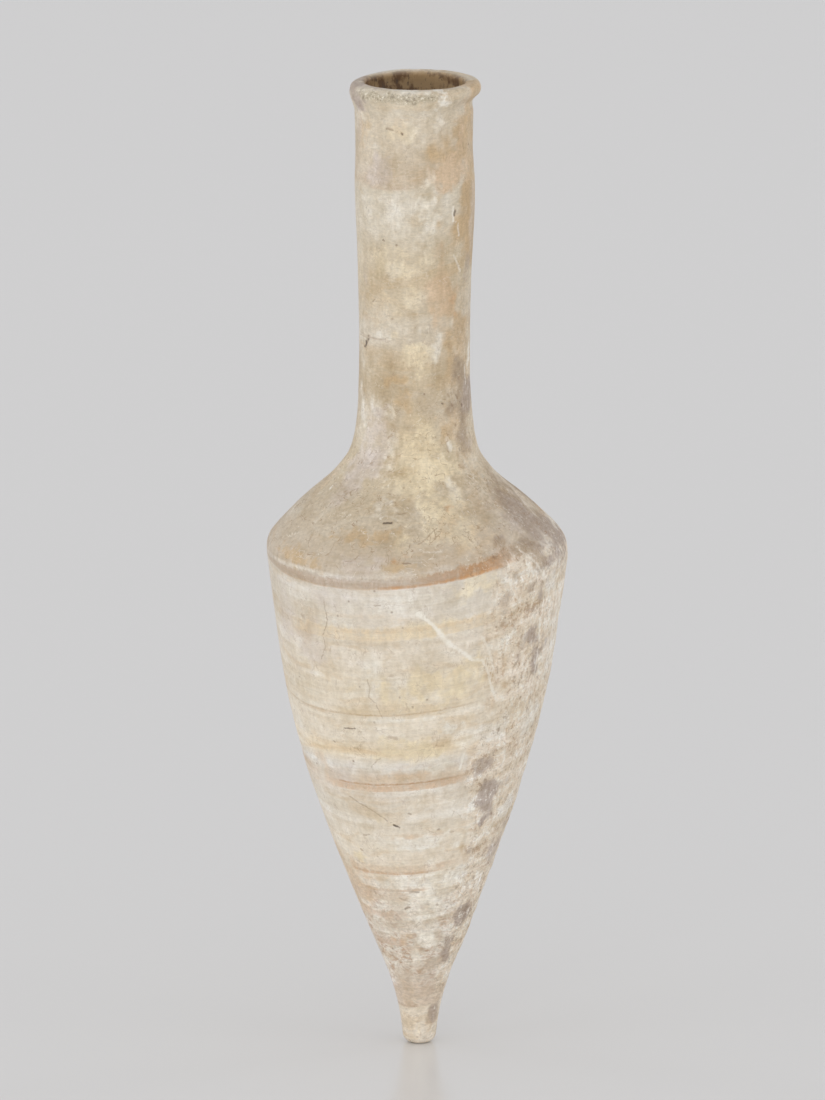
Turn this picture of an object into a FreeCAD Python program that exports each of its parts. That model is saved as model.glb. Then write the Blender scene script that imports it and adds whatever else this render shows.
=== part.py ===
import FreeCAD, Part
import math
import os

from FreeCAD import Vector

# A tall spindle-shaped stone vessel for scented oil: a pointed body, a long
# neck and a rolled lip. The neck with its shoulder and the body are turned and
# hollowed as two sections, and are cemented together at the widest circle.
# Millimetres, Z up, origin at the centre of the foot's resting face.

# Whole vessel
overall_height = 300.0
joint_height = 155.0
ridge_radius = 45.6

# Foot and flank of the body, with the angles in degrees that they lean out by:
# at the foot, where the narrow stem turns into the flank, and at the rim
foot_radius = 5.05
foot_round = 3.0
foot_lean = 5.6
turn_lean = 21.2
rim_lean = 7.0
ridge_land = 0.5
worn_edge = 0.3

# Walls of the two sections
body_wall = 7.0
shoulder_wall = 6.5

# Cemented joint
cement_thickness = 0.4
seat_width = 6.0
spigot_depth = 5.0
spigot_wall = 4.6
rebate_ledge = 1.5

# Shoulder: the ridge rounds over into a slope that sweeps up into the neck. The
# angles in degrees are those of the slope from level, by the ridge and the neck.
ridge_round = 7.5
shoulder_height = 63.0
slope_ridge_angle = 48.0
slope_neck_angle = 54.8

# Neck: its waist above the shoulder, its swelling, and the throat below the lip
waist_radius = 16.8
swell_radius = 18.2
throat_radius = 17.8

# Bore, with the rounds at its foot and below the spigot
bore_radius = 13.0
bore_foot_round = 14.0
spigot_root_round = 6.0

# Lip, with the angle in degrees below level where its roll meets its underside
lip_radius = 19.9
lip_round = 2.1
lip_root_radius = 17.9
lip_root_rise = 2.6
lip_turn = 52.0

# Mouth
mouth_radius = 15.0
mouth_round = 1.2
mouth_depth = 3.0
mouth_foot_round = 5.0
flare_height = 7.0
flare_foot_round = 10.0

# Places on the outline, as shares of radius and height: the turn into the flank
# between the axis and the ridge, the end of the slope between the waist and the
# ridge, and the swelling and the throat on the way up the neck. The ball end of
# the hollow starts at a share of the way up the flank.
flank_turn_shares = (0.344, 0.242)
slope_end_shares = (0.176, 0.438)
swell_share = 0.665
throat_share = 0.803
hollow_end_share = 0.1

# How far a bend runs on along the ways of its two ends, as shares of the
# straight distance between them
foot_reach_shares = (0.46, 0.31)
flank_reach_shares = (0.55, 0.31)
hollow_reach_shares = (0.42, 0.31)
slope_reach_shares = (0.61, 0.305)
neck_foot_reach_shares = (0.10, 0.83)
neck_reach_shares = (0.49, 0.20)
throat_reach_shares = (0.25, 0.25)

UP = Vector(0, 0, 1)
OUT = Vector(1, 0, 0)

# Levels and radii of the joint, shared by its three pieces
bed_bottom = joint_height - cement_thickness / 2
bed_top = joint_height + cement_thickness / 2
bed_radius = ridge_radius - worn_edge
rebate_radius = ridge_radius - seat_width
spigot_radius = rebate_radius - cement_thickness
spigot_bore_radius = spigot_radius - spigot_wall
spigot_bottom = bed_top - spigot_depth
rebate_floor = spigot_bottom - cement_thickness
ledge_radius = rebate_radius - rebate_ledge


def at(radius, height):
    """A point of a turned outline, which lies in the plane of X and Z."""
    return Vector(radius, 0, height)


def way(degrees):
    """The direction in the outline's plane at an angle from OUT towards UP."""
    angle = math.radians(degrees)
    return OUT * math.cos(angle) + UP * math.sin(angle)


def leaning(degrees):
    """The way up that leans out by an angle."""
    return way(90 - degrees)


def rising(degrees):
    """The way in towards the axis that rises by an angle."""
    return way(180 - degrees)


def inward(along):
    """Square to an outline that runs up the vessel, towards its hollow."""
    return Vector(-along.z, 0, along.x).normalize()


def between(first, last, out_share, up_share):
    """The point at a share of the way out and a share of the way up."""
    size = last - first
    return at(first.x + size.x * out_share, first.z + size.z * up_share)


def line(start, end):
    return Part.LineSegment(start, end).toShape()


def arc(centre, radius, first, last):
    """A round from one angle to another, in degrees from OUT towards UP."""
    angles = (first, (first + last) / 2, last)
    return Part.Arc(*[centre + way(angle) * radius for angle in angles]).toShape()


def bend(start, start_way, end, end_way, reach_shares):
    """A smooth curve with given ways at its ends, both in its own direction."""
    span = start.distanceToPoint(end)
    leave = start + start_way * (span * reach_shares[0])
    arrive = end - end_way * (span * reach_shares[1])
    curve = Part.BezierCurve()
    curve.setPoles([start, leave, arrive, end])
    return curve


def path(corners):
    """Straight edges through corners, each given with the radius of its round."""
    edges = []
    last = corners[0][0]
    for (before, _), (corner, radius), (after, _) in zip(corners, corners[1:], corners[2:]):
        back = (before - corner).normalize()
        ahead = (after - corner).normalize()
        half_angle = back.getAngle(ahead) / 2
        reach = radius / math.tan(half_angle)
        start = corner + back * reach
        edges.append(line(last, start))
        last = corner + ahead * reach
        if radius:
            centre = corner + (back + ahead).normalize() * (radius / math.sin(half_angle))
            middle = centre + (corner - centre).normalize() * radius
            edges.append(Part.Arc(start, middle, last).toShape())
    edges.append(line(last, corners[-1][0]))
    return edges


def turned(edges):
    """A solid turned about the vessel's axis from a closed outline."""
    outline = Part.Face(Part.Wire(edges))
    return outline.revolve(Vector(), UP, 360)


def body_section():
    """The pointed body: a solid tip, an open hollow and the joint's socket."""
    foot_centre = at(foot_radius - foot_round, foot_round)
    rest_edge = foot_centre - UP * foot_round
    foot_side = foot_centre + way(-foot_lean) * foot_round
    turn = between(at(0, 0), at(ridge_radius, joint_height), *flank_turn_shares)
    flank_top = at(ridge_radius, bed_bottom - worn_edge - ridge_land)
    stem = bend(foot_side, leaning(foot_lean), turn, leaning(turn_lean), foot_reach_shares)
    flank = bend(turn, leaning(turn_lean), flank_top, leaning(rim_lean), flank_reach_shares)

    # The hollow keeps the wall's thickness inside the flank, down to its ball end
    ledge = at(ledge_radius, rebate_floor)
    end_way = flank.tangent(hollow_end_share)[0]
    end_side = flank.value(hollow_end_share) + inward(end_way) * body_wall
    hollow = bend(ledge, -leaning(rim_lean), end_side, -end_way, hollow_reach_shares[::-1])
    end_lean = math.degrees(end_way.getAngle(UP))
    end_radius = end_side.x / math.cos(math.radians(end_lean))
    end_centre = end_side - way(-end_lean) * end_radius
    hollow_floor = end_centre - UP * end_radius

    socket = path([
        (flank_top, 0),
        (at(ridge_radius, bed_bottom - worn_edge), 0),
        (at(bed_radius, bed_bottom), 0),
        (at(rebate_radius, bed_bottom), 0),
        (at(rebate_radius, rebate_floor), 0),
        (ledge, 0),
    ])
    return turned([
        line(hollow_floor, at(0, 0)),
        line(at(0, 0), rest_edge),
        arc(foot_centre, foot_round, -90, -foot_lean),
        stem.toShape(),
        flank.toShape(),
        *socket,
        hollow.toShape(),
        arc(end_centre, end_radius, -end_lean, -90),
    ])


def joint_cement():
    """The cement that fills the bed, the gap round the spigot and its toe."""
    corners = [
        at(bed_radius, bed_bottom),
        at(bed_radius, bed_top),
        at(spigot_radius, bed_top),
        at(spigot_radius, spigot_bottom),
        at(ledge_radius, spigot_bottom),
        at(ledge_radius, rebate_floor),
        at(rebate_radius, rebate_floor),
        at(rebate_radius, bed_bottom),
    ]
    return turned(path([(corner, 0) for corner in corners + corners[:1]]))


def neck_section():
    """Lip, neck and shoulder, bored through, with the joint's spigot below."""
    ridge_turn = 90 - slope_ridge_angle
    ridge_centre = at(ridge_radius - ridge_round, bed_top + worn_edge + ridge_land)
    ridge_start = ridge_centre + OUT * ridge_round
    ridge_end = ridge_centre + way(ridge_turn) * ridge_round
    lip_centre = at(lip_radius - lip_round, overall_height - lip_round)
    lip_start = lip_centre + way(-lip_turn) * lip_round
    lip_top = lip_centre + UP * lip_round
    lip_root = at(lip_root_radius, lip_start.z - lip_root_rise)

    waist = at(waist_radius, joint_height + shoulder_height)
    slope_end = between(at(waist_radius, joint_height), at(ridge_radius, waist.z), *slope_end_shares)
    swell = at(swell_radius, between(waist, lip_root, 0, swell_share).z)
    throat = at(throat_radius, between(waist, lip_root, 0, throat_share).z)
    ridge_way = rising(slope_ridge_angle)
    neck_way = rising(slope_neck_angle)
    slope = bend(ridge_end, ridge_way, slope_end, neck_way, slope_reach_shares)
    outside = [
        slope,
        bend(slope_end, neck_way, waist, UP, neck_foot_reach_shares),
        bend(waist, UP, swell, UP, neck_reach_shares),
        bend(swell, UP, throat, UP, throat_reach_shares),
        bend(throat, UP, lip_root, UP, throat_reach_shares),
        bend(lip_root, UP, lip_start, leaning(lip_turn), throat_reach_shares),
    ]

    # The hollow slopes as the shoulder does, a wall's thickness inside it
    along = (slope_end - ridge_end).normalize()
    hollow_slope = slope.value(0.5) + inward(along) * shoulder_wall
    hollow_rim, bore_foot = [
        hollow_slope + along * ((radius - hollow_slope.x) / along.x)
        for radius in (spigot_bore_radius, bore_radius)
    ]
    flare_top = overall_height - mouth_depth
    inside = path([
        (lip_top, 0),
        (at(mouth_radius, overall_height), mouth_round),
        (at(mouth_radius, flare_top), mouth_foot_round),
        (at(bore_radius, flare_top - flare_height), flare_foot_round),
        (bore_foot, bore_foot_round),
        (hollow_rim, spigot_root_round),
        (at(spigot_bore_radius, spigot_bottom), 0),
        (at(spigot_radius, spigot_bottom), 0),
        (at(spigot_radius, bed_top), 0),
        (at(bed_radius, bed_top), 0),
        (at(ridge_radius, bed_top + worn_edge), 0),
        (ridge_start, 0),
    ])

    return turned([
        arc(ridge_centre, ridge_round, 0, ridge_turn),
        *[curve.toShape() for curve in outside],
        arc(lip_centre, lip_round, -lip_turn, 90),
        *inside,
    ])


def main():
    os.makedirs("parts", exist_ok=True)
    pieces = {
        "neck_section": neck_section(),
        "joint_cement": joint_cement(),
        "body_section": body_section(),
    }
    for name, solid in pieces.items():
        solid.exportStep(os.path.join("parts", name + ".step"))


main()
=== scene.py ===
import math

import bpy
import numpy as np
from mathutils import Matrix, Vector


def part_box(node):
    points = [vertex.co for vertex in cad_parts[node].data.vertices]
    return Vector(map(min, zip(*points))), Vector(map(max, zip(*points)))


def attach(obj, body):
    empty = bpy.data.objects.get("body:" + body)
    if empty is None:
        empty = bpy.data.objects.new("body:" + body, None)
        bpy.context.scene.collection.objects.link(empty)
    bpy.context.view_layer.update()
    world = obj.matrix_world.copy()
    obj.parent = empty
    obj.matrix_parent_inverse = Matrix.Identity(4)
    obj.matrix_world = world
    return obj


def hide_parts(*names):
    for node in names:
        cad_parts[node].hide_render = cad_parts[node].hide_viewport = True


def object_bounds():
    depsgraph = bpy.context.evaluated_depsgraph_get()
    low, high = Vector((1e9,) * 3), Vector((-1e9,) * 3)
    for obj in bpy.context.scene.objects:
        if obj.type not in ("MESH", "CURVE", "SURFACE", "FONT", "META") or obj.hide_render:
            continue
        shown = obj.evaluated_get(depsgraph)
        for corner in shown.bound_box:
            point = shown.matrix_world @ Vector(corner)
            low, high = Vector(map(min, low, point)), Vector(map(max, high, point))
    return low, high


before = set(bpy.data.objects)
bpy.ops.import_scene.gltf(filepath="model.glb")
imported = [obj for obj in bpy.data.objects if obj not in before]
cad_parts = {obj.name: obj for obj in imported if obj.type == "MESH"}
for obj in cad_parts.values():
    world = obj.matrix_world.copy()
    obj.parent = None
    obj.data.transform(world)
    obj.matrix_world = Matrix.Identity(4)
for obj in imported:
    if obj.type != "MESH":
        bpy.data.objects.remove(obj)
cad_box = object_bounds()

# A worn vessel of banded stone. The shapes are worked out in millimetres in the
# part's own frame and are stored in metres. Azimuth 0 is the photographed side,
# towards -Y, and 90 is the side towards +X.
MM = 0.001
UP = np.array([0.0, 1.0])
OUT = np.array([1.0, 0.0])


# Sizes taken from the frame

def corners_of(node):
    """The lowest and highest corner of a node's box, in millimetres."""
    low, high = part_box(node)
    return np.array(low) / MM, np.array(high) / MM


overall_height = cad_box[1][2] / MM
ridge_radius = corners_of("body_section")[1][0]
bed_bottom = corners_of("body_section")[1][2]
bed_radius = corners_of("joint_cement")[1][0]
bed_top = corners_of("joint_cement")[1][2]
rebate_floor = corners_of("joint_cement")[0][2]
spigot_bottom = corners_of("neck_section")[0][2]
joint_height = (bed_bottom + bed_top) / 2
cement_thickness = bed_top - bed_bottom

# Sizes of the turned outline, the same as in the part
foot_radius = 5.05
foot_round = 3.0
foot_lean = 5.6
turn_lean = 21.2
rim_lean = 7.0
ridge_land = 0.5
worn_edge = 0.3
body_wall = 7.0
shoulder_wall = 6.5
seat_width = 6.0
spigot_wall = 4.6
rebate_ledge = 1.5
ridge_round = 7.5
shoulder_height = 63.0
slope_ridge_angle = 48.0
slope_neck_angle = 54.8
waist_radius = 16.8
swell_radius = 18.2
throat_radius = 17.8
bore_radius = 13.0
bore_foot_round = 14.0
spigot_root_round = 6.0
lip_radius = 19.9
lip_round = 2.1
lip_root_radius = 17.9
lip_root_rise = 2.6
lip_turn = 52.0
mouth_radius = 15.0
mouth_round = 1.2
mouth_depth = 3.0
mouth_foot_round = 5.0
flare_height = 7.0
flare_foot_round = 10.0
flank_turn_shares = (0.344, 0.242)
slope_end_shares = (0.176, 0.438)
swell_share = 0.665
throat_share = 0.803
hollow_end_share = 0.1
foot_reach_shares = (0.46, 0.31)
flank_reach_shares = (0.55, 0.31)
hollow_reach_shares = (0.42, 0.31)
slope_reach_shares = (0.61, 0.305)
neck_foot_reach_shares = (0.10, 0.83)
neck_reach_shares = (0.49, 0.20)
throat_reach_shares = (0.25, 0.25)

rebate_radius = ridge_radius - seat_width
spigot_radius = rebate_radius - cement_thickness
spigot_bore_radius = spigot_radius - spigot_wall
ledge_radius = rebate_radius - rebate_ledge

# How closely the meshes follow their outlines. The wear starts between two heights
# above the foot's face and ends over rows of the mouth, where the bore's dark brown starts.
curve_points = 400
round_points = 60
body_columns = 400
neck_columns = 336
body_step = 0.75
neck_step = 0.8
lip_step = 0.35
mouth_step = 0.6
hidden_step = 6.0
foot_fade_heights = (0.1, 2.5)
mouth_fade_rows = 12
bore_tint_rows = (1, 5)


# Outlines, as points of radius and height. Points nearer than this are one.
same_point = 1e-6


def at(radius, height):
    return np.array([radius, height])


def way(degrees):
    """The direction in the outline's plane at an angle from OUT towards UP."""
    angle = math.radians(degrees)
    return OUT * math.cos(angle) + UP * math.sin(angle)


def between(first, last, out_share, up_share):
    size = last - first
    return at(first[0] + size[0] * out_share, first[1] + size[1] * up_share)


def even(points, step):
    """Points at even steps along a line through points."""
    lengths = np.hypot(*np.diff(points, axis=0).T)
    along = np.concatenate([[0], np.cumsum(lengths)])
    places = np.linspace(0, along[-1], max(2, round(along[-1] / step) + 1))
    return np.stack([np.interp(places, along, points[:, i]) for i in (0, 1)], axis=1)


def poles(start, start_way, end, end_way, reach_shares):
    """The poles of a smooth curve with given ways at its ends."""
    span = np.hypot(*(end - start))
    leave = start + start_way * span * reach_shares[0]
    arrive = end - end_way * span * reach_shares[1]
    return start, leave, arrive, end


def on_bend(curve, t):
    a, b, c, d = curve
    return (1 - t)**3 * a + 3 * (1 - t)**2 * t * b + 3 * (1 - t) * t**2 * c + t**3 * d


def way_on_bend(curve, t):
    a, b, c, d = curve
    along = (1 - t)**2 * (b - a) + 2 * (1 - t) * t * (c - b) + t**2 * (d - c)
    return along / np.hypot(*along)


def bend(curve, step):
    return even(on_bend(curve, np.linspace(0, 1, curve_points)[:, None]), step)


def inward(along):
    """Square to an outline that runs up the vessel, towards its hollow."""
    return at(-along[1], along[0])


def arc(centre, radius, first, last, step):
    angles = np.radians(np.linspace(first, last, round_points))[:, None]
    return even(centre + radius * (OUT * np.cos(angles) + UP * np.sin(angles)), step)


def straight(start, end, step):
    return even(np.array([start, end]), step)


def rounded(corners, radii, step):
    """Straight lines through corners, with a round at each inner one."""
    edges = []
    last = corners[0]
    for before, corner, after, radius in zip(corners, corners[1:], corners[2:], radii):
        back = (before - corner) / np.hypot(*(before - corner))
        ahead = (after - corner) / np.hypot(*(after - corner))
        half_angle = math.acos(np.clip(back @ ahead, -1, 1)) / 2
        reach = radius / math.tan(half_angle)
        start = corner + back * reach
        edges.append(straight(last, start, step))
        last = corner + ahead * reach
        if radius:
            t = np.linspace(0, 1, round_points // 2)[:, None]
            edges.append(even((1 - t)**2 * start + 2 * (1 - t) * t * corner + t**2 * last, step))
    edges.append(straight(last, corners[-1], step))
    return edges


def body_outline():
    """The body's outline: its resting face, its outside, and its hidden inside."""
    foot_centre = at(foot_radius - foot_round, foot_round)
    foot_side = foot_centre + way(-foot_lean) * foot_round
    turn = between(at(0, 0), at(ridge_radius, joint_height), *flank_turn_shares)
    flank_top = at(ridge_radius, bed_bottom - worn_edge - ridge_land)
    turn_way, rim_way = way(90 - turn_lean), way(90 - rim_lean)
    stem = poles(foot_side, way(90 - foot_lean), turn, turn_way, foot_reach_shares)
    flank = poles(turn, turn_way, flank_top, rim_way, flank_reach_shares)
    rest = [straight(at(0, 0), foot_centre - UP * foot_round, body_step)]
    shown = [
        arc(foot_centre, foot_round, -90, -foot_lean, lip_step),
        bend(stem, body_step),
        bend(flank, body_step),
        straight(flank_top, at(ridge_radius, bed_bottom), lip_step),
    ]

    end_way = way_on_bend(flank, hollow_end_share)
    end_side = on_bend(flank, hollow_end_share) + inward(end_way) * body_wall
    end_lean = 90 - math.degrees(math.atan2(end_way[1], end_way[0]))
    end_radius = end_side[0] / math.cos(math.radians(end_lean))
    end_centre = end_side - way(-end_lean) * end_radius
    ledge = at(ledge_radius, rebate_floor)
    hidden = [
        *rounded([at(ridge_radius, bed_bottom), at(rebate_radius, bed_bottom),
                  at(rebate_radius, rebate_floor), ledge], [0, 0], hidden_step),
        bend(poles(ledge, -rim_way, end_side, -end_way, hollow_reach_shares[::-1]), hidden_step),
        arc(end_centre, end_radius, -end_lean, -90, hidden_step),
    ]
    return rest, shown, hidden


def neck_outline():
    """The neck's outline: its outside, its mouth and its hidden inside."""
    ridge_turn = 90 - slope_ridge_angle
    ridge_centre = at(ridge_radius - ridge_round, bed_top + worn_edge + ridge_land)
    ridge_end = ridge_centre + way(ridge_turn) * ridge_round
    lip_centre = at(lip_radius - lip_round, overall_height - lip_round)
    lip_start = lip_centre + way(-lip_turn) * lip_round
    lip_top = lip_centre + UP * lip_round
    lip_root = at(lip_root_radius, lip_start[1] - lip_root_rise)
    waist = at(waist_radius, joint_height + shoulder_height)
    slope_end = between(at(waist_radius, joint_height), at(ridge_radius, waist[1]), *slope_end_shares)
    swell = at(swell_radius, between(waist, lip_root, 0, swell_share)[1])
    throat = at(throat_radius, between(waist, lip_root, 0, throat_share)[1])
    ridge_way, neck_way = way(180 - slope_ridge_angle), way(180 - slope_neck_angle)
    slope = poles(ridge_end, ridge_way, slope_end, neck_way, slope_reach_shares)
    shown = [
        straight(at(ridge_radius, bed_top), ridge_centre + OUT * ridge_round, lip_step),
        arc(ridge_centre, ridge_round, 0, ridge_turn, neck_step),
        bend(slope, neck_step),
        bend(poles(slope_end, neck_way, waist, UP, neck_foot_reach_shares), neck_step),
        bend(poles(waist, UP, swell, UP, neck_reach_shares), neck_step),
        bend(poles(swell, UP, throat, UP, throat_reach_shares), neck_step),
        bend(poles(throat, UP, lip_root, UP, throat_reach_shares), neck_step),
        bend(poles(lip_root, UP, lip_start, way(90 - lip_turn), throat_reach_shares), lip_step),
        arc(lip_centre, lip_round, -lip_turn, 90, lip_step),
    ]

    # The bore, and the hollow below it, which slopes as the shoulder does
    along = (slope_end - ridge_end) / np.hypot(*(slope_end - ridge_end))
    slope_inside = on_bend(slope, 0.5) + inward(along) * shoulder_wall
    hollow_rim, bore_foot = [
        slope_inside + along * ((radius - slope_inside[0]) / along[0])
        for radius in (spigot_bore_radius, bore_radius)
    ]
    flare_top = overall_height - mouth_depth
    bore_top = at(bore_radius, flare_top - 3 * flare_height)
    mouth = rounded(
        [lip_top, at(mouth_radius, overall_height), at(mouth_radius, flare_top),
         at(bore_radius, flare_top - flare_height), bore_top],
        [mouth_round, mouth_foot_round, flare_foot_round], mouth_step)
    hidden = rounded(
        [bore_top, bore_foot, hollow_rim, at(spigot_bore_radius, spigot_bottom)],
        [bore_foot_round, spigot_root_round], hidden_step)
    hidden += rounded(
        [at(spigot_bore_radius, spigot_bottom), at(spigot_radius, spigot_bottom),
         at(spigot_radius, bed_top), at(ridge_radius, bed_top)], [0, 0], hidden_step)
    return shown, mouth, hidden


def joined(edges):
    """One line of points from edges that meet, without the doubled ones."""
    points = np.concatenate(edges)
    keep = np.concatenate([[True], np.hypot(*np.diff(points, axis=0).T) > same_point])
    return points[keep]


# Seeded noise on a lattice, for the wear that is carved into the meshes. Each
# octave is turned, made finer and shifted against the last one.
lattice_size = 48
lattice = np.random.default_rng(71).uniform(-1, 1, (lattice_size,) * 3)
octave_turn = np.array([[0.36, 0.48, -0.8], [-0.8, 0.6, 0.0], [0.48, 0.64, 0.6]])
octave_growth, octave_shift = 2.03, 7.7


def lattice_noise(points):
    """The lattice's values at points, smooth between its corners."""
    cell = np.floor(points).astype(int)
    t = points - cell
    t = t * t * t * (t * (6 * t - 15) + 10)
    total = 0
    for corner in np.ndindex(2, 2, 2):
        x, y, z = ((cell + corner) % lattice_size).T
        weight = np.abs(np.array(corner) + t - 1).prod(axis=1)
        total = total + weight * lattice[x, y, z]
    return total


def rough(points, size, octaves=1, offset=0.0, fall=0.5):
    """Noise from about -1 to 1 whose largest lumps are the given size."""
    total, strength = 0, 1.0
    q = points / size + offset
    for _ in range(octaves):
        total = total + strength * lattice_noise(q)
        q = q @ octave_turn.T * octave_growth + octave_shift
        strength *= fall
    return total


def fade(value, low, high):
    """0 below low, 1 above high and smooth between, either way round."""
    t = np.clip((value - low) / (high - low), 0, 1)
    return t * t * (3 - 2 * t)


def within(value, low, full, past, none):
    """1 between two fades, each given by where it starts and ends."""
    return fade(value, low, full) * fade(value, none, past)


# Places on the outside are given by azimuth in degrees and by layer. The layers
# of the stone are flat and tilted, and each is named by its height on the axis.
layer_tilt = np.array([-0.125, -0.15, 1.0])
outside = np.concatenate([joined(body_outline()[1]), joined(neck_outline()[0])])


def azimuth_of(points):
    return np.degrees(np.arctan2(points[:, 0], -points[:, 1]))


def radius_of(points):
    return np.hypot(points[:, 0], points[:, 1])


def spot(azimuth, layer):
    """The point of the outside at an azimuth and a layer, in millimetres."""
    angle = math.radians(azimuth)
    side = np.array([math.sin(angle), -math.cos(angle)])
    points = np.column_stack([outside[:, :1] * side, outside[:, 1]])
    return points[np.argmin(np.abs(points @ layer_tilt - layer))]


# How far from a mark the mesh still tells the material where it is
mark_reach = 1.7
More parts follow.
